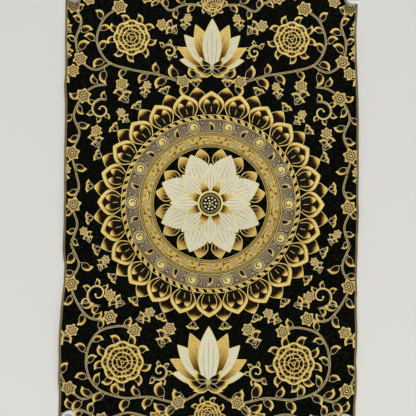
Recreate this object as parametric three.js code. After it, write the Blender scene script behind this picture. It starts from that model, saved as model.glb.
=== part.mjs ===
// A woven thangka panel, hung flat on a board by four round magnets, one on each corner.
// Millimetres. The origin is the middle of the cloth's top edge, on the face of the board:
// +X to the viewer's right, +Y into the board, +Z up. The cloth hangs from z = 0 down to z = -900.

import * as THREE from 'three';

// The cloth
const CLOTH_WIDTH = 600;
const CLOTH_LENGTH = 900;
const CLOTH_THICKNESS = 1.2;

// How far each side edge lies outside (+) or inside (-) a true 600 mm strip: [z, out]
const LEFT_EDGE = [
  [0, 3.4], [-39, 3.6], [-97, 2.4], [-139, 0.8], [-172, 0.5], [-200, 2.0], [-212, 1.4],
  [-238, -0.6], [-272, -1.1], [-321, -1.1], [-387, -2.0], [-436, -3.4], [-469, -3.4],
  [-502, -2.3], [-534, -1.3], [-550, -2.2], [-566, -5.0], [-599, -4.6], [-632, -2.4],
  [-664, -0.2], [-697, 1.5], [-729, 1.9], [-761, 1.1], [-793, 1.7], [-825, 0.8],
  [-857, 1.6], [-900, 2.2],
];
const RIGHT_EDGE = [
  [0, 0.2], [-31, -0.8], [-90, -3.4], [-132, -2.4], [-165, -1.0], [-198, 0.4], [-231, 1.6],
  [-264, 1.9], [-314, 1.9], [-380, 1.8], [-429, 0.9], [-462, 1.6], [-494, 1.4], [-502, 0.4],
  [-527, 0.8], [-560, -0.1], [-592, -0.8], [-620, 0.2], [-630, -0.7], [-657, -0.3],
  [-689, 0.5], [-722, 0.2], [-754, -1.5], [-786, -0.2], [-818, -0.4], [-850, -2.2],
  [-900, -2.6],
];

// How far the cloth stands off the board at its left edge, its middle and its right edge: [z, off]
const OFF_LEFT = [
  [0, 1.5], [-60, 2.0], [-140, 4.5], [-300, 5.5], [-430, 5.0], [-515, 3.6], [-566, 1.0],
  [-605, 3.2], [-650, 8.0], [-720, 9.6], [-800, 8.8], [-850, 4.6], [-900, 2.4],
];
const OFF_MIDDLE = [
  [0, 1.6], [-120, 2.4], [-225, 2.2], [-340, 2.6], [-450, 3.0], [-560, 1.6], [-680, 2.8],
  [-800, 2.4], [-900, 2.0],
];
const OFF_RIGHT = [
  [0, 1.2], [-120, 2.6], [-225, 3.2], [-450, 4.0], [-540, 2.4], [-620, 1.4], [-700, 3.4],
  [-800, 3.2], [-860, 2.0], [-900, 1.4],
];

// Storage folds: the middle one stands forward as a ridge, the quarter ones show only faintly.
const FOLDS = [
  { z: -450, rise: 5.6, reach: 42, round: 1.6 },
  { z: -225, rise: -0.9, reach: 20, round: 2.5 },
  { z: -675, rise: -1.0, reach: 20, round: 2.5 },
];

// The magnets, and the round patch that each presses flat on the board
const MAGNET_RADIUS = 15;
const MAGNET_HEIGHT = 13;
const MAGNET_RIM = 4.0;
const MAGNET_DISH = 0.8;
const MAGNET_CHAMFER = 1.2;
const PRESSED_RADIUS = MAGNET_RADIUS + 7;
const RELEASED_RADIUS = MAGNET_RADIUS + 75;
const GAP = 0.3;
const MAGNETS = [
  { name: 'magnet_top_left', x: -284.3, z: -13.3 },
  { name: 'magnet_top_right', x: 286.7, z: -13.8 },
  { name: 'magnet_bottom_left', x: -279.6, z: -876.0 },
  { name: 'magnet_bottom_right', x: 278.0, z: -877.0 },
];

const COLUMNS = 42;
const ROW_PITCH = 15;
const FOLD_ROWS = [-3, 3, -8, 8];
const ROUND_SEGMENTS = 48;

function smooth(t) {
  const c = Math.min(1, Math.max(0, t));
  return c * c * (3 - 2 * c);
}

// Value of a [z, value] table at a height, eased between its entries.
function along(table, z) {
  if (z >= table[0][0]) return table[0][1];
  for (let i = 1; i < table.length; i += 1) {
    const [z1, v1] = table[i];
    if (z >= z1) {
      const [z0, v0] = table[i - 1];
      return v0 + (v1 - v0) * smooth((z0 - z) / (z0 - z1));
    }
  }
  return table[table.length - 1][1];
}

// Where the point at u (-1 left edge, 1 right edge) and height z lies across the cloth.
function across(u, z) {
  const out = u < 0 ? -along(LEFT_EDGE, z) : along(RIGHT_EDGE, z);
  return (u * CLOTH_WIDTH) / 2 + out * u * u;
}

// Stand-off of the cloth's back from the board.
function standOff(x, z) {
  const u = Math.min(1, Math.max(-1, x / (CLOTH_WIDTH / 2)));
  const side = along(u < 0 ? OFF_LEFT : OFF_RIGHT, z);
  const middle = along(OFF_MIDDLE, z);
  let off = middle + (side - middle) * smooth(Math.abs(u));
  for (const fold of FOLDS) {
    const d = Math.hypot(z - fold.z, fold.round);
    off += fold.rise * Math.exp(-d / fold.reach);
  }
  off += 0.5 * Math.sin(x / 71 + z / 113) * Math.sin(z / 87 - x / 190 + 0.7);
  off += 0.3 * Math.sin(x / 37 - z / 61 + 1.3);
  off = Math.max(0.25, off);
  let free = 1;
  for (const m of MAGNETS) {
    const d = Math.hypot(x - m.x, z - m.z);
    free *= smooth((d - PRESSED_RADIUS) / (RELEASED_RADIUS - PRESSED_RADIUS));
  }
  return off * free;
}

function mesh(name, positions, faces, color, roughness, metalness) {
  const geometry = new THREE.BufferGeometry();
  geometry.setAttribute('position', new THREE.Float32BufferAttribute(positions, 3));
  geometry.setIndex(faces);
  geometry.computeVertexNormals();
  const material = new THREE.MeshStandardMaterial({ color, roughness, metalness });
  const made = new THREE.Mesh(geometry, material);
  made.name = name;
  return made;
}

// The cloth: a front and a back sheet of the same grid, closed round its four edges.
function cloth() {
  const heights = [];
  for (let z = 0; z >= -CLOTH_LENGTH; z -= ROW_PITCH) heights.push(z);
  for (const d of FOLD_ROWS) heights.push(FOLDS[0].z + d);
  heights.sort((a, b) => b - a);
  const rows = heights.length;
  const wide = COLUMNS + 1;
  const positions = [];
  for (const thickness of [CLOTH_THICKNESS, 0]) {
    for (const z of heights) {
      for (let i = 0; i < wide; i += 1) {
        const x = across(-1 + (2 * i) / COLUMNS, z);
        positions.push(x, -standOff(x, z) - thickness, z);
      }
    }
  }
  const faces = [];
  const back = rows * wide;
  for (let r = 0; r + 1 < rows; r += 1) {
    for (let i = 0; i < COLUMNS; i += 1) {
      const a = r * wide + i;
      const b = a + 1;
      const c = a + wide;
      const d = c + 1;
      faces.push(a, c, b, b, c, d);
      faces.push(back + a, back + b, back + c, back + b, back + d, back + c);
    }
  }
  const rim = [];
  for (let i = 0; i < COLUMNS; i += 1) rim.push(i);
  for (let r = 0; r + 1 < rows; r += 1) rim.push(r * wide + COLUMNS);
  for (let i = COLUMNS; i > 0; i -= 1) rim.push((rows - 1) * wide + i);
  for (let r = rows - 1; r > 0; r -= 1) rim.push(r * wide);
  for (let k = 0; k < rim.length; k += 1) {
    const a = rim[k];
    const b = rim[(k + 1) % rim.length];
    faces.push(a, b, back + a, b, back + b, back + a);
  }
  return mesh('cloth', positions, faces, 0x625844, 0.6, 0.15);
}

// A magnet: a turned disc, its axis along Y, with a chamfered rim and a shallow dished face.
function magnet({ name, x, z }) {
  const near = CLOTH_THICKNESS + GAP;
  const far = near + MAGNET_HEIGHT;
  const profile = [
    [MAGNET_RADIUS - MAGNET_CHAMFER / 2, near],
    [MAGNET_RADIUS, near + MAGNET_CHAMFER / 2],
    [MAGNET_RADIUS, far - MAGNET_CHAMFER],
    [MAGNET_RADIUS - MAGNET_CHAMFER, far],
    [MAGNET_RADIUS - MAGNET_RIM, far],
    [MAGNET_RADIUS - MAGNET_RIM - MAGNET_DISH, far - MAGNET_DISH],
  ];
  const positions = [0, -near, 0];
  for (const [radius, out] of profile) {
    for (let k = 0; k < ROUND_SEGMENTS; k += 1) {
      const turn = (2 * Math.PI * k) / ROUND_SEGMENTS;
      positions.push(radius * Math.cos(turn), -out, radius * Math.sin(turn));
    }
  }
  const face = positions.length / 3;
  positions.push(0, -(far - MAGNET_DISH), 0);
  const faces = [];
  const last = 1 + (profile.length - 1) * ROUND_SEGMENTS;
  for (let k = 0; k < ROUND_SEGMENTS; k += 1) {
    const n = (k + 1) % ROUND_SEGMENTS;
    faces.push(0, 1 + n, 1 + k);
    for (let p = 0; p + 1 < profile.length; p += 1) {
      const a = 1 + p * ROUND_SEGMENTS;
      const b = a + ROUND_SEGMENTS;
      faces.push(a + k, a + n, b + k, a + n, b + n, b + k);
    }
    faces.push(last + k, last + n, face);
  }
  const made = mesh(name, positions, faces, 0xe6e6e2, 0.35, 0.2);
  made.position.set(x, 0, z);
  return made;
}

const panel = new THREE.Group();
panel.name = 'thangka_panel';
panel.add(cloth());
for (const m of MAGNETS) panel.add(magnet(m));

export default panel;
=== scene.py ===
import math
import random

import bmesh
import bpy
import numpy as np
from mathutils import Matrix, Vector


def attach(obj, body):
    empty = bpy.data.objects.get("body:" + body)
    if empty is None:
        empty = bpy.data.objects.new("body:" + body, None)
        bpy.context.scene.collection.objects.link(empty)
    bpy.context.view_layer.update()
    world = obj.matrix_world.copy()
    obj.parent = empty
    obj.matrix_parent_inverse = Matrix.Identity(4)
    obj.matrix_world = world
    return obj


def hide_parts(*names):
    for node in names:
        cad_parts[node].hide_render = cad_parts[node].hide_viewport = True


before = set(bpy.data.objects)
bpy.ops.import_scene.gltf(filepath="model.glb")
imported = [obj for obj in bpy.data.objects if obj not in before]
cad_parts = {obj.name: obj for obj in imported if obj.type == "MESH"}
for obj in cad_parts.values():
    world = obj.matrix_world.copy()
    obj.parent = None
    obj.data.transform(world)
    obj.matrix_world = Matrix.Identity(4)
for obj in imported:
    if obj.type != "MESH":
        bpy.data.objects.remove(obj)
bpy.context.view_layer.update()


# The cloth: one length of heavy brocade with a black satin ground, 600 by 900 mm, hung flat.
# It has been folded for storage, so a ridge crosses its middle, and its side edges wander a little.
# A loom weaves ground and figure together; the ground is this piece, on the folds of its solid.
CLOTH_WIDE, CLOTH_LONG, CLOTH_THICK = 600.0, 900.0, 1.2
MIDDLE_FOLD = -450.0


def height_table(*rows):
    return np.array(rows, float).T


LEFT_EDGE = height_table(
    (0, 3.4), (-39, 3.6), (-97, 2.4), (-139, 0.8), (-172, 0.5), (-200, 2.0), (-212, 1.4),
    (-238, -0.6), (-272, -1.1), (-321, -1.1), (-387, -2.0), (-436, -3.4), (-469, -3.4),
    (-502, -2.3), (-534, -1.3), (-550, -2.2), (-566, -5.0), (-599, -4.6), (-632, -2.4),
    (-664, -0.2), (-697, 1.5), (-729, 1.9), (-761, 1.1), (-793, 1.7), (-825, 0.8),
    (-857, 1.6), (-900, 2.2),
)
RIGHT_EDGE = height_table(
    (0, 0.2), (-31, -0.8), (-90, -3.4), (-132, -2.4), (-165, -1.0), (-198, 0.4), (-231, 1.6),
    (-264, 1.9), (-314, 1.9), (-380, 1.8), (-429, 0.9), (-462, 1.6), (-494, 1.4), (-502, 0.4),
    (-527, 0.8), (-560, -0.1), (-592, -0.8), (-620, 0.2), (-630, -0.7), (-657, -0.3),
    (-689, 0.5), (-722, 0.2), (-754, -1.5), (-786, -0.2), (-818, -0.4), (-850, -2.2),
    (-900, -2.6),
)
OFF_LEFT = height_table(
    (0, 1.5), (-60, 2.0), (-140, 4.5), (-300, 5.5), (-430, 5.0), (-515, 3.6), (-566, 1.0),
    (-605, 3.2), (-650, 8.0), (-720, 9.6), (-800, 8.8), (-850, 4.6), (-900, 2.4),
)
OFF_MIDDLE = height_table(
    (0, 1.6), (-120, 2.4), (-225, 2.2), (-340, 2.6), (-450, 3.0), (-560, 1.6), (-680, 2.8),
    (-800, 2.4), (-900, 2.0),
)
OFF_RIGHT = height_table(
    (0, 1.2), (-120, 2.6), (-225, 3.2), (-450, 4.0), (-540, 2.4), (-620, 1.4), (-700, 3.4),
    (-800, 3.2), (-860, 2.0), (-900, 1.4),
)
# each fold: its height on the cloth, how far it stands forward, its reach and its rounding
FOLDS = ((MIDDLE_FOLD, 5.6, 42.0, 1.6), (-225.0, -0.9, 20.0, 2.5), (-675.0, -1.0, 20.0, 2.5))
MAGNETS = {
    "magnet_top_left": (-284.3, -13.3),
    "magnet_top_right": (286.7, -13.8),
    "magnet_bottom_left": (-279.6, -876.0),
    "magnet_bottom_right": (278.0, -877.0),
}
# how far round a magnet the cloth lies pressed, and where it is free of it
PRESSED, RELEASED = 22.0, 90.0
LEAST_OFF = 0.25


def ease(t):
    t = np.clip(t, 0.0, 1.0)
    return t * t * (3 - 2 * t)


def along(table, z):
    """The value of a height table at z, eased between its rows."""
    zs, values = table
    i = np.clip(np.searchsorted(-zs, -z, side="right") - 1, 0, len(zs) - 2)
    return values[i] + (values[i + 1] - values[i]) * ease((zs[i] - z) / (zs[i] - zs[i + 1]))


def hang(flat):
    """Points of the flat cloth (across, lift, height), in mm, moved to where they hang, in m."""
    u = flat[:, 0] / (CLOTH_WIDE / 2)
    z = flat[:, 2]
    x = flat[:, 0] + np.where(u < 0, -along(LEFT_EDGE, z), along(RIGHT_EDGE, z)) * u * u
    u = np.clip(x / (CLOTH_WIDE / 2), -1, 1)
    middle = along(OFF_MIDDLE, z)
    side = np.where(u < 0, along(OFF_LEFT, z), along(OFF_RIGHT, z))
    off = middle + (side - middle) * ease(np.abs(u))
    for fold, rise, reach, rounding in FOLDS:
        off = off + rise * np.exp(-np.hypot(z - fold, rounding) / reach)
    off = off + 0.5 * np.sin(x / 71 + z / 113) * np.sin(z / 87 - x / 190 + 0.7)
    off = off + 0.3 * np.sin(x / 37 - z / 61 + 1.3)
    off = np.maximum(LEAST_OFF, off)
    for mx, mz in MAGNETS.values():
        off = off * ease((np.hypot(x - mx, z - mz) - PRESSED) / (RELEASED - PRESSED))
    return np.column_stack([x, -(off + CLOTH_THICK + flat[:, 1]), z]) * 0.001


def new_piece(bm, name, *materials):
    """Turns a bmesh into a smooth object in the scene."""
    mesh = bpy.data.meshes.new(name)
    bm.to_mesh(mesh)
    bm.free()
    for face in mesh.polygons:
        face.use_smooth = True
    for material in materials:
        mesh.materials.append(material)
    piece = bpy.data.objects.new(name, mesh)
    bpy.context.scene.collection.objects.link(piece)
    return piece


def corners_of(mesh):
    """The mesh's points as an array, one row for each."""
    points = np.empty(len(mesh.vertices) * 3)
    mesh.vertices.foreach_get("co", points)
    return points.reshape(-1, 3)


def hung_piece(bm, name, *materials):
    """Makes a piece of a flat bmesh, hung on the cloth, its faces towards the viewer."""
    piece = new_piece(bm, name, *materials)
    piece.data.vertices.foreach_set("co", hang(corners_of(piece.data)).ravel())
    piece.data.update()
    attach(piece, "root")
    return piece


def new_material(name):
    material = bpy.data.materials.new(name)
    material.use_nodes = True
    tree = material.node_tree
    return material, tree, tree.nodes["Principled BSDF"]


def feed(tree, socket, value):
    """Links another node's output to a socket, or sets the socket's own value."""
    if isinstance(value, bpy.types.NodeSocket):
        tree.links.new(value, socket)
    else:
        socket.default_value = value


def node(tree, kind, settings=None, **inputs):
    """A node with its settings and inputs; an input is a value or another node's output."""
    made = tree.nodes.new(kind)
    for key, value in (settings or {}).items():
        setattr(made, key, value)
    for key, value in inputs.items():
        feed(tree, made.inputs[key.replace("_", " ")], value)
    return made


def upright_mm(tree):
    """Object coordinates turned so that x runs across the cloth and y up it, in mm."""
    where = node(tree, "ShaderNodeTexCoord")
    turned = node(tree, "ShaderNodeMapping", Rotation=(-math.pi / 2, 0, 0),
                  Scale=(1000, 1000, 1000), Vector=where.outputs["Object"])
    return turned.outputs["Vector"]


def float_cells(tree, where, long, tall):
    """Random numbers, one for each yarn float: cells long by tall mm, each row shifted."""
    return node(tree, "ShaderNodeTexBrick", {"offset": 0.41, "offset_frequency": 3},
                Vector=where, Color1=(0, 0, 0, 1), Color2=(1, 1, 1, 1), Mortar=(0.5, 0.5, 0.5, 1),
                Scale=1.0, Mortar_Size=0.02 * tall, Mortar_Smooth=0.6, Bias=0.0,
                Brick_Width=long, Row_Height=tall)


def cloudy(tree, where, scale, detail, rough=0.5):
    """Soft random light and dark, about scale patches to each unit of where."""
    clouds = node(tree, "ShaderNodeTexNoise", Vector=where, Scale=scale, Detail=detail,
                  Roughness=rough)
    return clouds.outputs["Fac"]


def colour_mix(tree, fac, a, b):
    mix = tree.nodes.new("ShaderNodeMix")
    mix.data_type = "RGBA"
    for number, value in ((0, fac), (6, a), (7, b)):
        feed(tree, mix.inputs[number], value)
    return mix.outputs[2]


def math_node(tree, operation, a, b=0.0, c=0.0, clamp=False):
    made = tree.nodes.new("ShaderNodeMath")
    made.operation = operation
    made.use_clamp = clamp
    for socket, value in zip(made.inputs, (a, b, c)):
        feed(tree, socket, value)
    return made.outputs[0]


def above(tree, value, floor, gain):
    """How far a value lies above a floor, times gain, kept within 0 and 1."""
    return math_node(tree, "MULTIPLY", math_node(tree, "SUBTRACT", value, floor), gain, clamp=True)


def srgb(r, g, b):
    """A screen colour as the linear one that the shader takes."""
    linear = (c / 12.92 if c <= 0.04045 else ((c + 0.055) / 1.055) ** 2.4 for c in (r, g, b))
    return (*linear, 1.0)


def set_surface(tree, bsdf, colour, rough, specular=0.5, relief=None, strength=0.0, high=0.0003):
    """Feeds a surface its colour and gloss, and a fine relief, high metres deep."""
    feed(tree, bsdf.inputs["Base Color"], colour)
    feed(tree, bsdf.inputs["Roughness"], rough)
    feed(tree, bsdf.inputs["Specular IOR Level"], specular)
    if relief is not None:
        bump = node(tree, "ShaderNodeBump", Strength=strength, Distance=high, Height=relief)
        feed(tree, bsdf.inputs["Normal"], bump.outputs["Normal"])


def satin_ground():
    material, tree, bsdf = new_material("black_satin_ground")
    where = upright_mm(tree)
    cells = float_cells(tree, where, 1.1, 0.36)
    black = colour_mix(tree, cells.outputs["Color"],
                       srgb(0.002, 0.003, 0.002), srgb(0.022, 0.024, 0.018))
    # uneven dye: patches of a few millimetres where the warp is a little paler
    paler = above(tree, cloudy(tree, where, 0.3, 3.0, 0.7), 0.49, 7.0)
    black = colour_mix(tree, paler, black, srgb(0.108, 0.118, 0.094))
    # binding points: now and then a pale weft shows between the black warps
    shows = above(tree, cloudy(tree, where, 1.9, 1.0), 0.70, 9.0)
    black = colour_mix(tree, shows, black, srgb(0.26, 0.25, 0.17))
    set_surface(tree, bsdf, black, 0.6, 0.01, cells.outputs["Color"], 0.35)
    return material


def cloth_reverse():
    """The back: the figure's wefts run loose behind the plain ground and go to the front at the
    figure, so the pattern shows there as a dull negative of itself."""
    material, tree, bsdf = new_material("brocade_reverse")
    where = upright_mm(tree)
    stretched = node(tree, "ShaderNodeMapping", Scale=(0.02, 1.6, 1.0), Vector=where)
    cells = float_cells(tree, where, 9.0, 0.5)
    figured = node(tree, "ShaderNodeAttribute", {"attribute_name": "figured"})
    pale = above(tree, cloudy(tree, stretched.outputs["Vector"], 1.0, 4.0, 0.7), 0.46, 6.0)
    loose = math_node(tree, "MULTIPLY_ADD", figured.outputs["Fac"], -0.5, 0.82, clamp=True)
    yarns = colour_mix(tree, cells.outputs["Color"], srgb(0.56, 0.49, 0.30), srgb(0.74, 0.70, 0.57))
    shown = math_node(tree, "MULTIPLY", pale, loose)
    colour = colour_mix(tree, shown, srgb(0.07, 0.067, 0.058), yarns)
    set_surface(tree, bsdf, colour, 0.7, 0.2, cells.outputs["Color"], 0.4)
    return material


def cut(bm, through, facing, slack, trim=False):
    """Cuts all faces along a plane, and drops what lies beyond it when trimming."""
    bmesh.ops.bisect_plane(bm, geom=bm.verts[:] + bm.edges[:] + bm.faces[:], dist=slack,
                           plane_co=through, plane_no=facing, clear_outer=trim)


SQUARES_WIDE, SQUARES_LONG = 140, 210
ground = bmesh.new()
bmesh.ops.create_grid(ground, x_segments=SQUARES_WIDE, y_segments=SQUARES_LONG, size=0.5)
bmesh.ops.scale(ground, verts=ground.verts, vec=(CLOTH_WIDE, CLOTH_LONG, 1))
bmesh.ops.rotate(ground, verts=ground.verts, matrix=Matrix.Rotation(math.pi / 2, 3, "X"))
bmesh.ops.translate(ground, verts=ground.verts, vec=(0, 0, -CLOTH_LONG / 2))
for near in (-6.5, -4.2, -2.4, -1.2, 0.0, 1.2, 2.4, 4.2, 6.5):
    cut(ground, (0, 0, MIDDLE_FOLD + near), (0, 0, 1), 0.05)
cloth = hung_piece(ground, "brocade_ground", satin_ground(), cloth_reverse())
shell = cloth.modifiers.new("cloth_thickness", "SOLIDIFY")
shell.thickness = CLOTH_THICK * 0.001
shell.offset = -1.0
shell.material_offset = 1
shell.material_offset_rim = 1
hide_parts("cloth")


# The figure: gold, ivory and taupe wefts that float over the ground and draw the pattern.
# Each shape here is one area of floats, lying a hair above the ground, its rims bound down into it.
# The pattern is a lotus mandala between flower scrolls, the same on both sides of the middle.

# lengths are in mm, and a point of the flat cloth is one complex number, across + height * 1j
FLOAT_STEP, FLOAT_RISE, LINE_CROWN, SUNK = 0.09, 0.08, 0.055, -0.1
YARNS = ("gold", "ivory", "pale", "taupe", "black")
FULL_LOOM = 1500
CELL = 3.0
looms, rolls = {}, {}
taken = np.zeros((int(CLOTH_LONG / CELL), int(CLOTH_WIDE / CELL)), bool)


def string_loom(yarns=YARNS):
    """Fresh, empty areas of float for each yarn."""
    for yarn in yarns:
        rolls.setdefault(yarn, [])
        looms[yarn] = bmesh.new()
        looms[yarn].verts.layers.float.new("tone")


def roll_up(yarn):
    """Winds on what has been woven, as a loom does, so that the next float meets a clear warp."""
    woven = bpy.data.meshes.new("woven_length")
    looms[yarn].to_mesh(woven)
    looms[yarn].free()
    rolls[yarn].append(woven)
    string_loom((yarn,))


def unroll(yarn):
    """All that one yarn has woven, as one bmesh."""
    roll_up(yarn)
    looms.pop(yarn).free()
    whole = bmesh.new()
    for woven in rolls.pop(yarn):
        whole.from_mesh(woven)
        bpy.data.meshes.remove(woven)
    return whole


def cells_at(points):
    """The cell that each point lies in or nearest to, and whether the point is on the cloth."""
    down, across = -points.imag / CELL, (points.real + CLOTH_WIDE / 2) / CELL
    tall, wide = taken.shape
    inside = (down > -1) & (down < tall) & (across > -1) & (across < wide)
    rows = np.clip(down, 0, tall - 1).astype(int)
    columns = np.clip(across, 0, wide - 1).astype(int)
    return (rows, columns), inside


def mark(points):
    """Notes that figure lies at the points."""
    (rows, columns), inside = cells_at(points)
    taken[rows[inside], columns[inside]] = True


def crowded(points):
    """Whether other figure already lies at any of the points."""
    return bool(taken[cells_at(points)[0]].any())


def set_floats(yarn, points, lifts, tones):
    """Lays a grid of floats: points, lifts and tones are arrays of rows across by steps along."""
    across, steps = points.shape
    bm = looms[yarn]
    tone = bm.verts.layers.float["tone"]
    made = bmesh.ops.create_grid(bm, x_segments=steps - 1, y_segments=across - 1, size=1.0)["verts"]
    for v, p, lift, t in zip(made, *(values.ravel().tolist() for values in (points, lifts, tones))):
        v.co = (p.real, lift, p.imag)
        v[tone] = t
    mark(points.ravel())
    if len(bm.verts) > FULL_LOOM:
        roll_up(yarn)


def line(yarn, path, wide, level=0, thin=(0, 0), tone=1.0):
    """A line of floats along a path; thin gives how many steps it tapers over at each end."""
    path = np.asarray(path, complex)
    n = len(path)
    way = np.gradient(path)
    way = way / np.maximum(np.abs(way), 1e-6)
    width = np.full(n, float(wide))
    for from_end, taper in ((width, thin[0]), (width[::-1], thin[1])):
        for k in range(taper):
            from_end[k] *= (k + 0.4) / (taper + 0.4)
    side = 1j * way * width / 2
    base = FLOAT_RISE + FLOAT_STEP * level
    lifts = np.repeat([[base - 0.03], [base + LINE_CROWN], [base - 0.03]], n, axis=1)
    points = np.array([path - side, path, path + side])
    set_floats(yarn, points, lifts, np.full((3, n), float(tone)))


def area(yarn, left, right, level=0, tone=None, closed=False, pitch=4.0, rim=0.45):
    """An area of floats between two edges. tone(along, across) is its yarn density, 0 to 1."""
    left, right = np.asarray(left, complex), np.asarray(right, complex)
    n = len(left)
    width = max(float(np.abs(left - right).max()), 0.5)
    edge = min(0.3, rim / width)
    inner = np.linspace(edge, 1 - edge, max(2, math.ceil(width / pitch)))
    v = np.concatenate([[0.0], inner, [1.0]])[:, None]
    points = right[None, :] * (1 - v) + left[None, :] * v
    lifts = np.full(points.shape, FLOAT_RISE + FLOAT_STEP * level)
    lifts[0] = lifts[-1] = SUNK if level == 0 else FLOAT_STEP * (level - 1)
    if not closed:
        lifts[:, 0] = lifts[:, -1] = lifts[0, 0]
    t = np.linspace(0, 1, n)[None, :]
    tones = np.ones(points.shape) if tone is None else np.broadcast_to(tone(t, v), points.shape)
    set_floats(yarn, points, lifts, tones)


def run_of(path):
    """How far along a path each of its points lies."""
    return np.concatenate([[0], np.cumsum(np.abs(np.diff(path)))])


def read_off(at, marks, path):
    """Points of a path at places read off against its marks."""
    return np.interp(at, marks, path.real) + 1j * np.interp(at, marks, path.imag)


def stroke(knots, step=2.4):
    """A smooth path through a few points, its own points evenly spaced, about step mm apart."""
    k = np.asarray(knots, complex)
    k = np.concatenate([2 * k[:1] - k[1:2], k, 2 * k[-1:] - k[-2:-1]])
    a, b, c, d = (k[i:len(k) - 3 + i][:, None] for i in range(4))
    t = np.linspace(0, 1, 16, endpoint=False)[None, :]
    bend, twist = 2 * a - 5 * b + 4 * c - d, 3 * b - a - 3 * c + d
    fine = 0.5 * (2 * b + (c - a) * t + bend * t**2 + twist * t**3)
    path = np.append(fine.ravel(), k[-2])
    run = run_of(path)
    return read_off(np.linspace(0, run[-1], max(3, int(run[-1] / step) + 1)), run, path)


def bearing(angle):
    """One mm on a bearing in degrees, counted leftwards round from straight right."""
    return np.exp(1j * math.radians(angle))


def circle(centre, radius, step=2.6):
    turns = np.linspace(0, 2 * np.pi, max(9, int(2 * np.pi * radius / step)) + 1)
    return centre + radius * np.exp(1j * turns)


def ring(yarn, centre, inner, outer, level=0, tone=None, step=4.0):
    around = circle(0, 1, step / outer)
    area(yarn, centre + inner * around, centre + outer * around, level, tone, closed=True)


def dot(yarn, centre, radius, level=0, tone=1.0):
    around = circle(0, 1, 0.7 if radius < 3 else 0.5)
    points = centre + np.array([around * radius, around * radius * 0.6, around * 0.02])
    lift = FLOAT_RISE + FLOAT_STEP * level
    rim = SUNK if level == 0 else lift - 0.1
    lifts = np.repeat([[rim], [lift], [lift + 0.02]], len(around), axis=1)
    set_floats(yarn, points[::-1], lifts[::-1], np.full(points.shape, float(tone)))


def seat(origin, angle=0.0, size=1.0):
    """Places a motif drawn along +x at an origin, turned by an angle in degrees."""
    turn = size * bearing(angle)
    return lambda z: origin + turn * np.asarray(z, complex)


def upon(to, at, turn=1):
    """Places a motif at a point of another motif, and turned there."""
    return lambda z: to(at + np.asarray(z) * turn)


def petal_edges(reach, wide, steps=16, foot=0.14, belly=1.05, sharp=0.85):
    """Left and right edges of a petal along +x from its foot; sharp under 0.7 rounds its tip."""
    t = np.linspace(0, 1, steps)
    if sharp < 0.7:
        t = np.sin(t * np.pi / 2)
    half = wide / 2 * np.clip(np.sin(np.pi * (foot + (1 - foot) * t) ** belly), 0, 1) ** sharp
    if sharp > 0.7:
        half = half * (1 - 0.25 * t**6)
    return reach * t + 1j * half, reach * t - 1j * half


def petal(to, edges, level, tone, rim, fill="gold", rim_yarn="gold", pitch=4.0):
    """A petal between its two edges, and a line up its left edge and down its right one."""
    left, right = edges
    area(fill, to(left), to(right), level, tone, pitch=pitch)
    line(rim_yarn, to(np.concatenate([left, right[-2::-1]])), rim, level + 1)


def rim_tone(start, gain):
    """Close floats at a round petal's rim, thinning quickly to bare ground inside."""
    def tone(a, v):
        t = np.sin(a * np.pi / 2)
        from_heart = np.hypot((t - 0.40) / 0.58, 0.92 * (2 * v - 1))
        return np.clip((from_heart - start) * gain, 0, 1) * np.clip(t * 3, 0, 1)
    return tone


def tip_tone(start=0.4, gain=2.2, full=0.96):
    """Close floats at a pointed petal's tip, thinning to bare ground towards its foot."""
    return lambda a, v: np.clip((a - start) * gain, 0, full) + 0 * v


def steps_for(length, step=3.2):
    return max(6, int(length / step) + 1)


def petal_between(left, right, v, start, end):
    """A line inside a petal, at v across it, from start to end of its reach."""
    n = len(left)
    path = right * (1 - v) + left * v
    at = np.linspace(start * (n - 1), end * (n - 1), max(4, int((end - start) * n)))
    return read_off(at, np.arange(n), path)


def lotus_petal(to, reach, wide, level, fill, veins=3, foot=0.14, rim=1.3, tone=None, vein="gold"):
    """One pointed petal: its fill, a gold outline and fine veins."""
    left, right = petal_edges(reach, wide, steps_for(reach), foot)
    petal(to, (left, right), level, tone, rim, fill)
    for k in range(veins):
        v = (k + 1) / (veins + 1)
        far = 0.78 - 0.24 * abs(2 * v - 1)
        line(vein, to(petal_between(left, right, v, 0.05, far)), 0.8, level + 1, thin=(0, 4),
             tone=0.55 if vein == "gold" else 1.0)


def hook_leaf(to, reach, wide, bend, level=0):
    """A leaf that grows along +x and hooks over: bare inside a fine outline, gold on its outer
    side, the gold widening to the tip and fading inwards."""
    bare_foot = 0.24
    n = steps_for(reach, 1.9)
    t = np.linspace(0, 1, n)
    heading = np.exp(1j * bend * (2.3 * t**1.8 - 0.45 - 5.5 * np.clip(t - 0.76, 0, 1)))
    rib = np.concatenate([[0], np.cumsum((heading[1:] + heading[:-1]) / 2)]) * reach / (n - 1)
    half = wide / 2 * np.sin(np.pi * t**0.72) ** 0.9 * (1 - 0.3 * np.clip(t / 0.3 - 2.3, 0, 1))
    left, right = rib + 1j * heading * half, rib - 1j * heading * half
    outer, inner = (right, left) if bend > 0 else (left, right)

    def tone(a, v):
        band = 0.95 * np.clip((a - bare_foot) * 1.7, 0, 1) ** 0.9 + 0.01
        tip = np.clip((a - 0.68) * 4, 0, 1)
        return np.clip(1.25 * (1 - v / band) + tip, 0, 1) * (a > bare_foot)

    area("gold", to(inner), to(outer), level, tone, pitch=1.9)
    line("gold", to(outer[n // 3:]), 0.9, level + 1)
    line("pale", to(outer[: n // 3 + 2]), 0.75, level + 1)
    line("pale", to(inner), 0.75, level + 1)


def leaf(to, reach, wide, bend, level):
    """A small plain leaf of close gold floats."""
    n = steps_for(reach, 2.4)
    t = np.linspace(0, 1, n)
    rib = reach * t + 1j * bend * reach * t**2
    half = wide / 2 * np.sin(np.pi * t**0.85) ** 0.9
    area("gold", to(rib + 1j * half), to(rib - 1j * half), level, tone=tip_tone(-0.3, 1.0))


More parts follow.
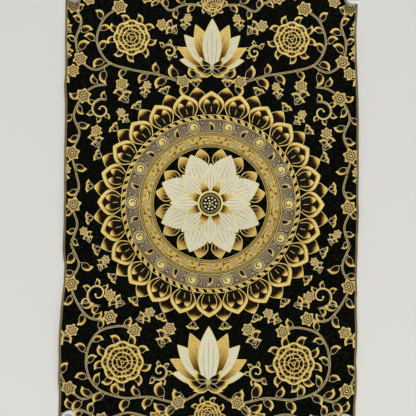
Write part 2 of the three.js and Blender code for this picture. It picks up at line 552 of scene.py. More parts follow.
def blossom(to, radius, level):
    """An open flower of six pointed petals, gold at the tips, bare inside, round a ringed eye."""
    edges = petal_edges(radius, radius * 0.72, 11, 0.16, 1.15)
    for k in range(6):
        turned_to = upon(to, 0, np.exp(2j * np.pi * (k + 0.25) / 6))
        petal(turned_to, edges, level, tip_tone(0.42, 2.4, 1.0), 0.85,
              rim_yarn="gold" if k % 2 else "pale", pitch=1.8)
    dot("black", to(0 + 0j), radius * 0.36, level + 2)
    line("gold", to(circle(0, radius * 0.33, 1.6)), 1.2, level + 3)
    dot("ivory", to(0 + 0j), radius * 0.15, level + 3)


def bud(to, radius, level):
    """A round bud on a short stalk: a fine ring, gold on its far side, in two small sepals."""
    line("pale", to(np.array([-radius * 2.2, -radius * 1.6 + 0.4j, -radius * 1.05])), 0.9, level)
    edges = petal_edges(radius * 2, radius * 1.9, 10, 0.04, 1.15, 0.6)
    petal(upon(to, -radius), edges, level, tip_tone(0.35, 2.0), 0.8, rim_yarn="pale", pitch=2.2)
    for turn in (-1, 1):
        sepal = upon(to, -radius * 1.2, np.exp(0.7j * turn))
        leaf(sepal, radius * 1.5, radius * 0.5, 0.3 * turn, level + 2)


PEONY_ROWS = ((8, 1.0, 0.82), (6, 0.74, 0.78), (5, 0.49, 0.62), (3, 0.26, 0.46))


def peony(to, radius, level):
    """A full flower: rows of round petals, gold at their rims and bare inside, round an eye of
    seeds, hooked leaves behind it. A row gives how many petals, their reach and their width."""
    for k in range(9):
        turned_to = upon(to, 0, np.exp(2j * np.pi * (k + 0.5) / 9))
        hook_leaf(upon(turned_to, 0.86 * radius), radius * 0.62, radius * 0.34,
                  1.1 if k % 2 else -1.1, level - 2)
    for r, (count, reach, wide) in enumerate(PEONY_ROWS):
        at = level + 2 * r
        steps = steps_for(reach * radius, 2.2)
        edges = petal_edges(reach * radius, wide * radius, steps, 0.04, 1.9, 0.55)
        for k in range(count):
            turned_to = upon(to, 0, np.exp(2j * np.pi * (k + 0.37 * r) / count))
            petal(turned_to, edges, at, rim_tone(0.78, 4.6), 1.0, pitch=1.9)
            if r < 2:
                vein = petal_between(*edges, 0.5, 0.4, 0.74)
                line("pale", turned_to(vein), 0.8, at + 1, thin=(2, 2))
    top = level + 8
    dot("black", to(0 + 0j), radius * 0.12, top)
    for k in range(5):
        dot("gold", to(radius * 0.075 * np.exp(2j * np.pi * k / 5)), radius * 0.035, top + 1)


def comma_disc(centre, angle, radius, level):
    """A gold disc with a dark comma curled in it, and two fine rings round it."""
    for share in (1.24, 1.48):
        line("pale", circle(centre, radius * share, 1.8), 0.8, level)
    dot("gold", centre, radius, level + 1)
    t = np.linspace(0, 1, 12)
    comma = radius * (0.8 - 0.62 * t) * np.exp(1j * (math.radians(angle) + 4.4 * t))
    line("black", centre + comma, radius * 0.26, level + 2, thin=(3, 1))


def curl(to, radius, turns, wide, level, yarn):
    """A scroll tip: a line that winds in on itself and ends in a knob."""
    t = np.linspace(0, 1, max(10, int(turns * radius * 3.2 / 1.6)))
    path = radius * (1 - t) ** 0.85 * np.exp(2j * np.pi * turns * t)
    line(yarn, to(path[:-1]), wide, level, thin=(2, 3))
    dot(yarn, to(0 + 0j), wide * 0.9, level)


def scroll(to, radius, hand):
    """A large scroll: a thick gold line that winds in, a fine one inside, hooked leaves outside."""
    turns, leaves = 1.25, 5
    t = np.linspace(0, 1, int(radius * turns * 2.2))
    path = radius * (1 - 0.84 * t) * np.exp(2j * hand * np.pi * turns * t)
    line("gold", to(path), 2.0, 1, thin=(6, 8))
    line("pale", to(path[: int(len(t) * 0.86)] * (1 - 3.2 / radius)), 0.8, thin=(3, 3))
    dot("gold", to(path[-1]), 2.2, 2)
    for k in range(leaves):
        at = 0.03 + 0.62 * k / leaves
        p = path[int(at * (len(t) - 1))]
        out = p / abs(p) * np.exp(1j * hand * 0.75)
        reach, wide = radius * 0.8 * (1 - 0.4 * at), radius * 0.44 * (1 - 0.3 * at)
        hook_leaf(upon(to, p, out), reach, wide, -1.1 * hand)


def stem(knots, leaf_reach, gap, first, seed):
    """A stem of two fine lines through a few points, with hooked leaves on alternate sides."""
    path = stroke(knots)
    way = np.gradient(path)
    way = way / np.abs(way)
    area("taupe", path + 1.3j * way, path - 1.3j * way, 0, lambda a, v: 0.45 + 0 * a * v, rim=0.2)
    line("pale", path + 1.4j * way, 0.75, thin=(0, 3))
    line("gold", path - 1.4j * way, 0.9, thin=(0, 3))
    run = run_of(path)
    pick = random.Random(seed)
    at, side = gap * 0.6, first
    leafless_end = 8.0
    while at < run[-1] - leafless_end:
        i = int(np.searchsorted(run, at))
        heading = math.degrees(np.angle(path[min(i + 1, len(path) - 1)] - path[i - 1]))
        reach = leaf_reach * (0.8 + 0.35 * pick.random()) * (1 - 0.2 * at / run[-1])
        spread, plump, bend = pick.random(), pick.random(), pick.random()
        stalk = 0.36 * reach
        along_stem, out = (bearing(heading + turn * side) for turn in (18, 62))
        foot = path[i] + stalk * out
        to = seat(foot, heading + side * (34 + 16 * spread))
        if not crowded(to(reach * np.array([0.35, 0.6, 0.85]))):
            elbow = path[i] + 0.45 * stalk * (along_stem + out) / 1.4
            line("pale", stroke([path[i], elbow, foot], 1.6), 0.8)
            hook_leaf(to, reach, reach * (0.5 + 0.1 * plump), side * (0.9 + 0.4 * bend))
        at += gap * (0.85 + 0.3 * pick.random())
        side = -side


def yarn_material(name, bright, dull, deep, shade, rough, metal, crisp):
    """Weft floats: rows of short horizontal floats, thinned to the black ground where tone is low.
    deep is the colour of thin floats; crisp is how much brighter the full floats of a line lie."""
    material, tree, bsdf = new_material(name)
    where = upright_mm(tree)
    cells = float_cells(tree, where, 1.5, 0.42)
    colour = colour_mix(tree, cells.outputs["Color"], bright, dull)
    # worn unevenly over some centimetres, and darker where each float is bound down
    worn = math_node(tree, "MULTIPLY", cloudy(tree, where, 0.02, 2.0), 0.35)
    colour = colour_mix(tree, worn, colour, dull)
    bound = math_node(tree, "MULTIPLY", cells.outputs["Fac"], 0.7)
    colour = colour_mix(tree, bound, colour, shade)
    # where the tone is low only some floats come up, and those that do are deeper in colour
    tone = node(tree, "ShaderNodeAttribute", {"attribute_name": "tone"}).outputs["Fac"]
    shallow = math_node(tree, "MULTIPLY_ADD", tone, 1.7, -0.55, clamp=True)
    colour = colour_mix(tree, shallow, deep, colour)
    chance = math_node(tree, "SUBTRACT", cloudy(tree, where, 1.6, 1.0), 0.5)
    gap = math_node(tree, "SUBTRACT", tone, math_node(tree, "MULTIPLY_ADD", chance, 1.7, 0.36))
    present = math_node(tree, "MULTIPLY_ADD", gap, 4.0, 0.5, clamp=True)
    full = math_node(tree, "GREATER_THAN", tone, 0.97)
    present = math_node(tree, "MAXIMUM", present, full)
    colour = colour_mix(tree, math_node(tree, "MULTIPLY", full, crisp), colour, bright)
    colour = colour_mix(tree, present, srgb(0.025, 0.024, 0.02), colour)
    if metal:
        feed(tree, bsdf.inputs["Metallic"], math_node(tree, "MULTIPLY", present, metal))
    set_surface(tree, bsdf, colour, rough, 0.06, cells.outputs["Color"], 0.5)
    return material


YARN_MATERIALS = {
    "gold": yarn_material(
        "gold_weft", srgb(1.0, 0.915, 0.58), srgb(0.81, 0.645, 0.27), srgb(0.64, 0.45, 0.13),
        srgb(0.34, 0.27, 0.13), rough=0.45, metal=0.22, crisp=0.6),
    "ivory": yarn_material(
        "ivory_weft", srgb(0.985, 0.97, 0.86), srgb(0.83, 0.815, 0.69), srgb(0.7, 0.68, 0.55),
        srgb(0.58, 0.56, 0.45), rough=0.55, metal=0.0, crisp=0.0),
    "pale": yarn_material(
        "pale_gold_weft", srgb(0.94, 0.89, 0.70), srgb(0.80, 0.74, 0.55), srgb(0.5, 0.45, 0.32),
        srgb(0.36, 0.32, 0.22), rough=0.5, metal=0.1, crisp=0.4),
    "taupe": yarn_material(
        "taupe_weft", srgb(0.78, 0.70, 0.56), srgb(0.62, 0.54, 0.42), srgb(0.5, 0.43, 0.33),
        srgb(0.26, 0.23, 0.17), rough=0.6, metal=0.0, crisp=0.0),
    "black": yarn_material(
        "black_weft", srgb(0.02, 0.02, 0.017), srgb(0.045, 0.043, 0.036), srgb(0.02, 0.02, 0.017),
        srgb(0.01, 0.01, 0.01), rough=0.6, metal=0.0, crisp=0.0),
}
BARE_MARGIN = 3.0


def cut_from_loom(part):
    """Makes what has been woven one hung piece for each yarn, trimmed inside the cloth's edges."""
    for yarn in YARNS:
        bm = unroll(yarn)
        if not bm.verts:
            bm.free()
            continue
        bmesh.ops.remove_doubles(bm, verts=bm.verts, dist=0.012)
        side, foot = CLOTH_WIDE / 2 - BARE_MARGIN, CLOTH_LONG - BARE_MARGIN
        for edge, facing in (((side, 0, 0), (1, 0, 0)), ((-side, 0, 0), (-1, 0, 0)),
                             ((0, 0, -BARE_MARGIN), (0, 0, 1)), ((0, 0, -foot), (0, 0, -1))):
            cut(bm, edge, facing, 0.01, trim=True)
        for near in (-4.5, -2.0, 0.0, 2.0, 4.5):
            cut(bm, (0, 0, MIDDLE_FOLD + near), (0, 0, 1), 0.01)
        bm.normal_update()
        bmesh.ops.reverse_faces(bm, faces=[f for f in bm.faces if f.normal.y > 0])
        hung_piece(bm, f"{part}_{yarn}", YARN_MATERIALS[yarn])


# The mandala: a seed boss, rows of lotus petals, a vine ring, a ring of comma discs, a rope ring
# and an outer ring of broad petals, one inside the other round a point near the cloth's middle.
string_loom()
HEART = -440j
VINE_RADIUS, DISC_RADIUS = 130.5, 159.4


def outwards(angle, radius):
    """Places a motif at a radius from the heart, growing away from it."""
    return seat(HEART + radius * bearing(angle), angle)


for k in range(16):
    lotus_petal(outwards(22.5 * k + 11.25, 76), 38, 29, 0, "gold",
                tone=tip_tone(0.35, 2.0, 0.95), vein="pale")
for k in range(8):
    lotus_petal(outwards(45 * k + 22.5, 42), 65, 51, 2, "ivory", foot=0.2, veins=5)
for k in range(8):
    lotus_petal(outwards(45 * k, 24), 58, 41, 4, "ivory", foot=0.24, veins=5)
for k in range(8):
    lotus_petal(outwards(45 * k + 22.5, 22), 26, 17, 6, "gold", veins=1, foot=0.3, rim=0.9,
                tone=tip_tone(0.1, 1.6), vein="black")
ring("gold", HEART, 22.0, 26.0, 8)
ring("black", HEART, 0.2, 22.6, 9)
for k in range(36):
    line("gold", HEART + np.array([15.8, 18, 20.2]) * bearing(10 * k), 0.8, 10)
for k in range(10):
    dot("ivory", HEART + 11.6 * np.exp(2j * np.pi * k / 10), 2.1, 10)
for k in range(5):
    dot("gold", HEART + 5.6 * np.exp(2j * np.pi * (k + 0.5) / 5), 1.8, 10)
dot("ivory", HEART, 2.3, 10)

# a gold ring, closely figured: a dark vine of curls with an open blossom at every turn
line("gold", circle(HEART, 116.0), 0.9)
ring("gold", HEART, 118.0, 143.0, 0, step=3.0,
     tone=lambda a, v: 0.66 + 0.26 * np.abs(np.sin(a * np.pi * 96 + 5 * v)))
for radius in (119.8, 121.4, 139.6, 141.2):
    line("black", circle(HEART, radius), 0.8, 1)
winding = np.linspace(0, 2 * np.pi, 560)
line("black", HEART + (VINE_RADIUS + 5.6 * np.sin(16 * winding)) * np.exp(1j * winding), 1.5, 1)
# each curl: degrees on from the blossom, mm out from the vine's middle, radius and hand
VINE_CURLS = ((6.6, -3.6, 3.9, 1), (15.9, 3.6, 3.9, -1), (9.6, 6.0, 2.6, 1), (12.9, -6.0, 2.6, -1))
for k in range(16):
    a = 22.5 * k
    middle = HEART + VINE_RADIUS * bearing(a)
    dot("black", middle, 8.6, 1)
    blossom(seat(middle, a), 8.8, 2)
    for onward, out, radius, hand in VINE_CURLS:
        spot = HEART + (VINE_RADIUS + out) * bearing(a + onward)
        curl(seat(spot, a + 90 * hand), radius, 1.3, 1.2, 1, "black")
    leafy = HEART + VINE_RADIUS * bearing(a + 11.25)
    dot("black", leafy, 2.6, 1)
    dot("ivory", leafy, 1.7, 2)

# a ring hatched with fine curved rays in taupe, with comma discs set on it
line("gold", circle(HEART, 145.2), 1.3)
rays = np.linspace(0, 1, 6)
for k in range(330):
    a = 2 * np.pi * k / 330
    swung = a + 0.05 * np.sin(np.pi * rays * 0.6)
    line("taupe", HEART + (146.8 + 25.2 * rays) * np.exp(1j * swung), 1.5)
for k in range(14):
    a = 2 * np.pi * k / 14
    centre = HEART + DISC_RADIUS * np.exp(1j * a)
    dot("black", centre, 12.4, 1)
    comma_disc(centre, math.degrees(a) + 120, 8.2, 2)
    line("pale", circle(centre, 12.2, 1.8), 0.8, 2)
    for turn in (-1, 1):
        for onward, out, radius in ((0.112, 5.6, 3.6), (0.10, -6.4, 3.0)):
            spot = HEART + (DISC_RADIUS + out) * np.exp(1j * (a + onward * turn))
            dot("black", spot, radius * 1.25, 1)
            curl(seat(spot, math.degrees(a) + 90 - 90 * turn), radius, 1.4, 1.0, 2, "pale")
    hook_leaf(outwards(math.degrees(a) + 180 / 14, 148.5), 21, 9.5, 0.9 if k % 2 else -0.9, 1)

# the rope ring: slanting strands, each a short S between two gold lines
for radius in (173.4, 182.2):
    line("gold", circle(HEART, radius), 1.2)
STRAND = ((174.2, -0.034), (176.8, -0.014), (178.8, 0.014), (181.4, 0.034))
for k in range(68):
    a = 2 * np.pi * k / 68
    slant = stroke([HEART + radius * np.exp(1j * (a + onward)) for radius, onward in STRAND], 1.2)
    line("gold", slant, 5.6, 0, thin=(3, 3), tone=0.95)


# the outer ring of broad petals, gold at their tips, with a cleft gold heart in each
def broad_petal_tone(a, v):
    from_heart = np.hypot((a - 0.16) / 0.74, 0.96 * (2 * v - 1))
    return np.clip((from_heart - 0.82) * 8, 0, 1) * np.clip(a * 2.4 - 0.2, 0, 1)


for k in range(24):
    petal(outwards(15 * k + 7.5, 198), petal_edges(43, 34, 14, 0.1), 0,
          tip_tone(0.66, 5.0, 1.0), 1.0, pitch=2.6)
left, right = petal_edges(28, 15, 12, 0.3, 1.5, 0.6)
for k in range(24):
    to = outwards(15 * k, 182.5)
    petal(to, petal_edges(48, 51, 18, 0.24, 1.3), 2, broad_petal_tone, 1.5, pitch=3.0)
    for turn in (-1, 1):
        heart = upon(to, 5 + 0.2j * turn, np.exp(0.16j * turn))
        area("gold", heart(left + 5.6j * turn), heart(right + 5.6j * turn), 3,
             tip_tone(0.40, 5.0, 1.0), pitch=2.0)
        line("gold", heart((left if turn > 0 else right) + 5.6j * turn), 1.0, 4)
    line("pale", to(np.array([6, 11, 17 + 0.5j])), 0.9, 4)
for k in range(24):
    a = 15 * k + 7.5
    for turn in (-1, 1):
        hook_leaf(seat(HEART + 242 * bearing(a), a + 34 * turn), 21, 11, 1.2 * turn)
cut_from_loom("mandala")


# The flower fields above and below the mandala: a lotus in the middle of each, seen from the side,
# and scrolls that carry full flowers, small blossoms and leaves out to the side edges.
string_loom()


def side_lotus(foot_z, size, tiers):
    """A lotus seen from the side, on a curled calyx; tiers are (angle, reach, width, level)."""
    base = 1j * foot_z
    for angle, reach, wide, level in tiers:
        if level % 4 == 0:
            looks = {"fill": "ivory", "vein": "gold", "tone": None}
        else:
            looks = {"fill": "gold", "vein": "black", "tone": tip_tone(0.12, 1.5)}
        for side in ((1, -1) if angle else (1,)):
            to = seat(base + 3 * size * 1j, 90 - side * angle, size)
            lotus_petal(to, reach, wide, level, **looks)
    for side in (1, -1):
        for angle, reach in ((58, 34), (96, 44), (132, 34)):
            hook_leaf(seat(base, 90 - side * angle, size), reach, reach * 0.42, 0.8 * side, 10)
    dot("gold", base, 5 * size, 11)
    dot("black", base, 3.2 * size, 12)
    dot("ivory", base, 2 * size, 13)


TIERS = ((80, 66, 26, 0), (62, 78, 31, 2), (42, 84, 34, 4), (22, 90, 36, 6), (0, 96, 38, 8))
side_lotus(-160, 1.02, TIERS)
side_lotus(-800, 1.12, TIERS)

STEMS = (
    # knots, leaf reach, gap, first side, seed
    ((10 - 176j, 58 - 190j, 112 - 176j, 168 - 166j, 214 - 150j, 236 - 108j, 222 - 62j, 190 - 36j),
     29, 23, 1, 1),
    ((206 - 153j, 240 - 168j, 270 - 146j, 278 - 106j, 268 - 66j, 284 - 34j), 26, 23, -1, 2),
    ((4 - 50j, 24 - 32j, 58 - 30j, 88 - 42j, 108 - 24j, 136 - 14j), 25, 21, 1, 3),
    ((10 - 818j, 60 - 842j, 118 - 832j, 172 - 834j, 226 - 812j, 246 - 760j, 226 - 706j, 182 - 690j,
      150 - 698j), 31, 24, -1, 4),
    ((214 - 822j, 252 - 838j, 280 - 816j, 298 - 784j), 27, 22, 1, 5),
    ((64 - 846j, 104 - 874j, 160 - 864j, 212 - 878j, 258 - 860j, 298 - 870j), 27, 22, 1, 6),
    ((214 - 198j, 240 - 203j, 264 - 222j, 282 - 262j, 270 - 300j, 284 - 340j, 276 - 380j),
     26, 22, 1, 8),
    ((276 - 380j, 270 - 412j, 284 - 446j, 272 - 486j, 284 - 524j), 24, 21, -1, 9),
    ((284 - 524j, 270 - 566j, 284 - 606j, 264 - 650j, 236 - 676j, 200 - 672j), 26, 22, 1, 10),
)
PEONIES = ((165 - 100j, 37), (173 - 762j, 42))
MIDDLE_PEONIES = ((0 - 22j, 23), (0 - 866j, 27))
SCROLLS = (
    # centre, radius, angle, hand
    (226 - 250j, 24, 120, -1), (228 - 626j, 26, 250, 1),
    (88 - 128j, 17, 20, 1), (98 - 780j, 20, 330, -1),
)
BLOSSOMS = (
    (190 - 36j, 16), (284 - 34j, 16), (136 - 14j, 14), (150 - 698j, 15), (262 - 222j, 16),
    (284 - 340j, 16), (280 - 446j, 16), (284 - 606j, 16), (200 - 672j, 15), (104 - 874j, 16),
    (212 - 878j, 15), (280 - 816j, 16), (270 - 146j, 15), (58 - 190j, 14), (60 - 842j, 15),
    (252 - 20j, 13),
)
RIGHT, LEFT = 1, -1


def place_on(side, origin, angle):
    """Places a motif of the right half, or its mirror image on the left."""
    to = seat(origin, angle)
    return to if side == RIGHT else lambda z: -np.conj(to(z))


for centre, radius in MIDDLE_PEONIES:
    peony(seat(centre, 90), radius, 2)
for side in (RIGHT, LEFT):
    for centre, radius in PEONIES:
        peony(place_on(side, centre, 90), radius, 2)
    for centre, radius in BLOSSOMS:
        blossom(place_on(side, centre, 90), radius, 2)
for side in (RIGHT, LEFT):
    for knots, leaf_reach, gap, first, seed in STEMS:
        knots = [complex(side * knot.real, knot.imag) for knot in knots]
        stem(knots, leaf_reach, gap, first * side, seed)
    for centre, radius, angle, hand in SCROLLS:
        scroll(place_on(side, centre, angle), radius, hand)
cut_from_loom("flowers")


# The small sprays: where the ground would show empty, a leafy sprig with a bud or a blossom
# fills it, the largest that fits, and the same on both sides.
string_loom()
MOST_SPRAYS, LEAST_ROOM, MOST_ROOM = 60, 18, 27
pick = random.Random(7)


def room():
    """Distance in mm from each cell to the nearest figure, up to 36 mm."""
    far = np.zeros(taken.shape)
    grown = taken.copy()
    for k in range(12):
        far[~grown] += CELL
        wider = grown.copy()
        wider[1:] |= grown[:-1]
        wider[:-1] |= grown[1:]
        wider[:, 1:] |= grown[:, :-1] if k % 2 else wider[:, :-1]
        wider[:, :-1] |= grown[:, 1:] if k % 2 else wider[:, 1:]
        grown = wider
    return far


def sprig(side, centre, radius, angle, seed):
    """A little plant: a bent stem, hooked leaves on both sides, a flower or bud at its end."""
    to = place_on(side, centre, angle)
    lean = random.Random(seed).choice((-1, 1))
    path = stroke([-radius + 0j, -radius * 0.4 + lean * radius * 0.2j,
                   radius * 0.15 + lean * radius * 0.1j, radius * 0.5 - lean * radius * 0.1j])
    line("pale", to(path + 1j), 0.75, 0, thin=(2, 0))
    line("gold", to(path - 1j), 0.85, 0, thin=(2, 0))
    leaves = 2 if radius < 15 else 4
    for n in range(leaves):
        hand = lean * (-1) ** n
        p = path[int((0.1 + 0.75 * n / leaves) * (len(path) - 1))]
        hook_leaf(upon(to, p, np.exp(0.75j * hand)), radius * 0.92, radius * 0.5, 1.15 * hand)
    if radius > 17:
        blossom(upon(to, radius * 0.62), radius * 0.5, 2)
    else:
        bud(upon(to, radius * 0.66), radius * 0.28, 2)


for k in range(MOST_SPRAYS):
    half = room()[:, taken.shape[1] // 2:]
    if half.max() < LEAST_ROOM:
        break
    best = np.argwhere(half >= min(half.max(), MOST_ROOM))
    row, column = best[pick.randrange(len(best))]
    radius = min(float(half[row, column]) - 0.6, float(MOST_ROOM))
    centre = complex((column + 0.5) * CELL, -(row + 0.5) * CELL)
    if centre.real < radius:
        centre = complex(0.0, centre.imag) if centre.real < 4 else complex(radius + 1, centre.imag)
    angle = 90.0 if centre.real == 0 else pick.uniform(20, 160)
    for side in ((RIGHT,) if centre.real == 0 else (RIGHT, LEFT)):
        sprig(side, centre, radius, angle, k)
    # its whole round counts as filled, so that the next one looks for another place
    for share in (0.25, 0.5, 0.75, 0.95):
        around = centre + radius * share * np.exp(1j * np.linspace(0, 6.28, 40))
        mark(around)
        mark(-np.conj(around))
cut_from_loom("sprays")

# how closely the cloth is figured at each point of the ground, for its reverse
close = taken.astype(float)
for axis in (0, 1):
    close = (np.roll(close, 1, axis) + close + np.roll(close, -1, axis)) / 3
spots = corners_of(cloth.data) * 1000
nearest, inside = cells_at(spots[:, 0] + 1j * spots[:, 2])
cloth.data.attributes.new("figured", "FLOAT", "POINT").data.foreach_set("value", close[nearest])


# The edge: the cut cloth is overlocked all round in a dull gold thread, 4.5 mm deep,
# close slanting stitches that wrap from the front over the edge to the back.
STITCH_DEEP, STITCH_GAP = 4.4, 1.6


def overlock_thread():
    material, tree, bsdf = new_material("overlock_thread")
    twist = cloudy(tree, upright_mm(tree), 1.4, 2.0, 0.6)
    colour = colour_mix(tree, twist, srgb(0.28, 0.245, 0.14), srgb(0.62, 0.545, 0.34))
    set_surface(tree, bsdf, colour, 0.6, 0.3, twist, 0.4)
    return material


# a stitch from front to back: how deep inside the edge it lies, and how far before the cloth's face
WRAP = ((STITCH_DEEP, 0.12), (2.2, 0.42), (0.3, 0.30), (-0.35, -0.6), (0.3, -1.5), (2.2, -1.62),
        (STITCH_DEEP, -1.32))
deep, lift = (np.array(column)[None, :] for column in zip(*WRAP))
strand = np.array([-1.0, 0.0, 1.0])[:, None]
crown = 0.22 * (1 - np.abs(strand)) * np.sign(3 - np.arange(7))[None, :]
slant = 0.72 * strand + 0.35 * np.arange(7)[None, :] / 6
string_loom(("thread",))
for n in range(int(CLOTH_LONG / STITCH_GAP) - 2):
    for side in (-1, 1):
        start = CLOTH_WIDE / 2 * side - (n + 1.5) * STITCH_GAP * 1j
        set_floats("thread", start - side * deep - 1j * slant, lift + crown, np.ones((3, 7)))
for n in range(int(CLOTH_WIDE / STITCH_GAP) - 2):
    for inward, edge in ((1j, -CLOTH_LONG * 1j), (-1j, 0)):
        start = (n + 1.5) * STITCH_GAP - CLOTH_WIDE / 2 + edge
        set_floats("thread", start + inward * deep + slant, lift + crown, np.ones((3, 7)))
edging = unroll("thread")
bmesh.ops.recalc_face_normals(edging, faces=edging.faces)
stitches = hung_piece(edging, "overlocked_edge", overlock_thread())


# The magnets: four turned caps with a moulded white jacket, 30 mm across and 13 mm high, a broad
# rounded rim round a shallow grey recess. Each presses one corner of the cloth on the board.
def magnet_jacket():
    material, tree, bsdf = new_material("white_magnet_jacket")
    where = node(tree, "ShaderNodeTexCoord").outputs["Object"]
    clouds = cloudy(tree, where, 60.0, 4.0, 0.6)
    specks = cloudy(tree, where, 900.0, 2.0)
    colour = colour_mix(tree, clouds, srgb(0.90, 0.90, 0.88), srgb(0.83, 0.83, 0.81))
    colour = colour_mix(tree, above(tree, specks, 0.62, 3.0), colour, srgb(0.66, 0.65, 0.62))
    rough = math_node(tree, "MULTIPLY_ADD", clouds, 0.2, 0.25)
    set_surface(tree, bsdf, colour, rough, relief=specks, strength=0.08, high=0.0004)
    bsdf.inputs["Coat Weight"].default_value = 0.2
    bsdf.inputs["Coat Roughness"].default_value = 0.2
    return material


def magnet_recess():
    material, tree, bsdf = new_material("grey_magnet_recess")
    scuffs = cloudy(tree, node(tree, "ShaderNodeTexCoord").outputs["Object"], 240.0, 3.0, 0.6)
    colour = colour_mix(tree, scuffs, srgb(0.76, 0.75, 0.73), srgb(0.62, 0.61, 0.58))
    set_surface(tree, bsdf, colour, 0.38)
    bsdf.inputs["Metallic"].default_value = 0.3
    return material


MAGNET_PAINTS = (magnet_jacket(), magnet_recess())
MAGNET_FOOT = CLOTH_THICK + 0.3
# half a cap in section: radius and height, from the middle of its foot to the middle of its recess
MAGNET_PROFILE = ((0, 0), (14.4, 0), (15.0, 0.5), (15.0, 11.6), (14.86, 12.2), (14.5, 12.7),
                  (13.8, 12.98), (13.0, 13.0), (11.6, 12.95), (11.0, 12.7), (10.5, 12.3),
                  (10.2, 12.22), (0, 12.2))
RECESS_RADIUS, RECESS_DEPTH = 10.6, 12.0
for name, (mx, mz) in MAGNETS.items():
    bm = bmesh.new()
    profile = [bm.verts.new((radius, 0, high)) for radius, high in MAGNET_PROFILE]
    edges = [bm.edges.new(pair) for pair in zip(profile, profile[1:])]
    bmesh.ops.spin(bm, geom=profile + edges, cent=(0, 0, 0), axis=(0, 0, 1), angle=2 * math.pi,
                   steps=64, use_merge=True)
    bmesh.ops.remove_doubles(bm, verts=bm.verts, dist=0.005)
    bmesh.ops.recalc_face_normals(bm, faces=bm.faces)
    for face in bm.faces:
        middle = face.calc_center_median()
        if middle.z > RECESS_DEPTH and middle.xy.length < RECESS_RADIUS:
            face.material_index = 1
    bmesh.ops.rotate(bm, verts=bm.verts, matrix=Matrix.Rotation(math.pi / 2, 3, "X"))
    bmesh.ops.translate(bm, verts=bm.verts, vec=(mx, -MAGNET_FOOT, mz))
    bmesh.ops.scale(bm, verts=bm.verts, vec=(0.001, 0.001, 0.001))
    piece = new_piece(bm, name + "_jacket", *MAGNET_PAINTS)
    piece.data.set_sharp_from_angle(angle=math.radians(50))
    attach(piece, "root")
    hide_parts(name)


# The setting: a plain pale board just behind the cloth, which shows from the front alone, a plain
# pale floor well below, soft light from high in front, the camera square to the cloth, a bit low.
def plain_paint(name, colour, one_sided=False):
    material, tree, bsdf = new_material(name)
    mottle = cloudy(tree, node(tree, "ShaderNodeTexCoord").outputs["Object"], 3.0, 2.0)
    faint = colour_mix(tree, mottle, colour, tuple(c * 0.97 for c in colour[:3]) + (1.0,))
    set_surface(tree, bsdf, faint, 0.85, 0.15)
    if one_sided:
        side = node(tree, "ShaderNodeNewGeometry")
        path = node(tree, "ShaderNodeLightPath")
        clear = node(tree, "ShaderNodeBsdfTransparent")
        mix = tree.nodes.new("ShaderNodeMixShader")
        unseen = math_node(tree, "SUBTRACT", 1.0, path.outputs["Is Camera Ray"])
        unseen = math_node(tree, "MAXIMUM", side.outputs["Backfacing"], unseen)
        tree.links.new(unseen, mix.inputs[0])
        tree.links.new(bsdf.outputs[0], mix.inputs[1])
        tree.links.new(clear.outputs[0], mix.inputs[2])
        tree.links.new(mix.outputs[0], tree.nodes["Material Output"].inputs["Surface"])
    return material


def stage_plane(name, size, place, turn, material):
    bm = bmesh.new()
    bmesh.ops.create_grid(bm, x_segments=1, y_segments=1, size=size / 2)
    bmesh.ops.rotate(bm, verts=bm.verts, matrix=Matrix.Rotation(turn, 3, "X"))
    bmesh.ops.translate(bm, verts=bm.verts, vec=place)
    plane = new_piece(bm, name, material)


stage_plane("pale_board", 6.0, (0, 0.0012, 0), math.pi / 2,
            plain_paint("pale_board_paint", srgb(0.915, 0.912, 0.898), one_sided=True))
stage_plane("pale_floor", 8.0, (0, 0, -1.4), 0.0,
            plain_paint("pale_floor_paint", srgb(0.79, 0.785, 0.775)))

world = bpy.data.worlds.new("soft_room")
bpy.context.scene.world = world
world.use_nodes = True
daylight = world.node_tree.nodes["Background"]
daylight.inputs["Color"].default_value = (1.0, 0.99, 0.97, 1)
daylight.inputs["Strength"].default_value = 0.165


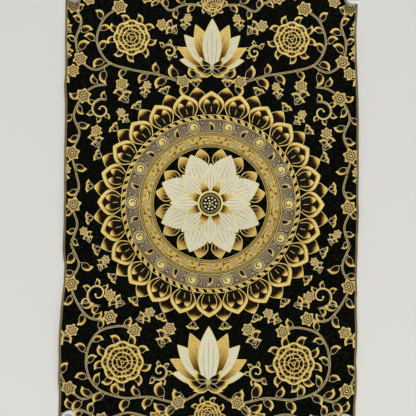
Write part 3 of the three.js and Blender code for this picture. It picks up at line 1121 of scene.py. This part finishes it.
def hang_light(lamp, place, towards, power, colour=(1, 1, 1)):
    """Sets a lamp in the scene at a place, shining the given way."""
    lamp.energy, lamp.color = power, colour
    light = bpy.data.objects.new(lamp.name, lamp)
    light.location = place
    light.rotation_mode = "QUATERNION"
    light.rotation_quaternion = towards.to_track_quat("-Z", "Y")
    bpy.context.scene.collection.objects.link(light)


CLOTH_MIDDLE = Vector((0, 0, -0.5))
for name, place, *light in (("left_fill", (-2.2, -2.6, -0.6), 7, (0.98, 0.99, 1.0)),
                            ("right_fill", (2.6, -2.4, -0.4), 9, (1.0, 0.99, 0.98)),
                            ("back_fill", (0.9, 2.8, 0.6), 130)):
    disk = bpy.data.lights.new(name, "AREA")
    disk.shape, disk.size = "DISK", 2.0
    hang_light(disk, place, CLOTH_MIDDLE - Vector(place), *light)
high_window = bpy.data.lights.new("high_window", "SUN")
high_window.angle = math.radians(24)
hang_light(high_window, (0, 0, 0), Vector((-0.14, 0.62, -0.77)), 2.32, (1.0, 0.992, 0.975))

# the lens is as long as the distance asks for: 2.044 mm of cloth to each of 416 picture points
CAMERA_OFF = 1300.0
CAMERA_PLACE = Vector((-0.004571, -CAMERA_OFF / 1000, -0.494875))
PITCH, ROLL = math.radians(2.019), math.radians(0.671)
SENSOR_WIDE, PICTURE_POINTS, MM_EACH = 36.0, 416.0, 2.044
lens = bpy.data.cameras.new("camera")
lens.sensor_width = SENSOR_WIDE
lens.lens = SENSOR_WIDE * (CAMERA_OFF / MM_EACH) / PICTURE_POINTS
camera = bpy.data.objects.new("camera", lens)
forwards = Vector((0, math.cos(PITCH), math.sin(PITCH)))
level_right = Vector((1, 0, 0))
level_up = level_right.cross(forwards)
right_way = level_right * math.cos(ROLL) + level_up * math.sin(ROLL)
up_way = level_up * math.cos(ROLL) - level_right * math.sin(ROLL)
turned = Matrix((right_way, up_way, -forwards)).transposed().to_4x4()
camera.matrix_world = Matrix.Translation(CAMERA_PLACE) @ turned
bpy.context.scene.collection.objects.link(camera)
bpy.context.scene.camera = camera
bpy.context.scene.view_settings.view_transform = "Standard"
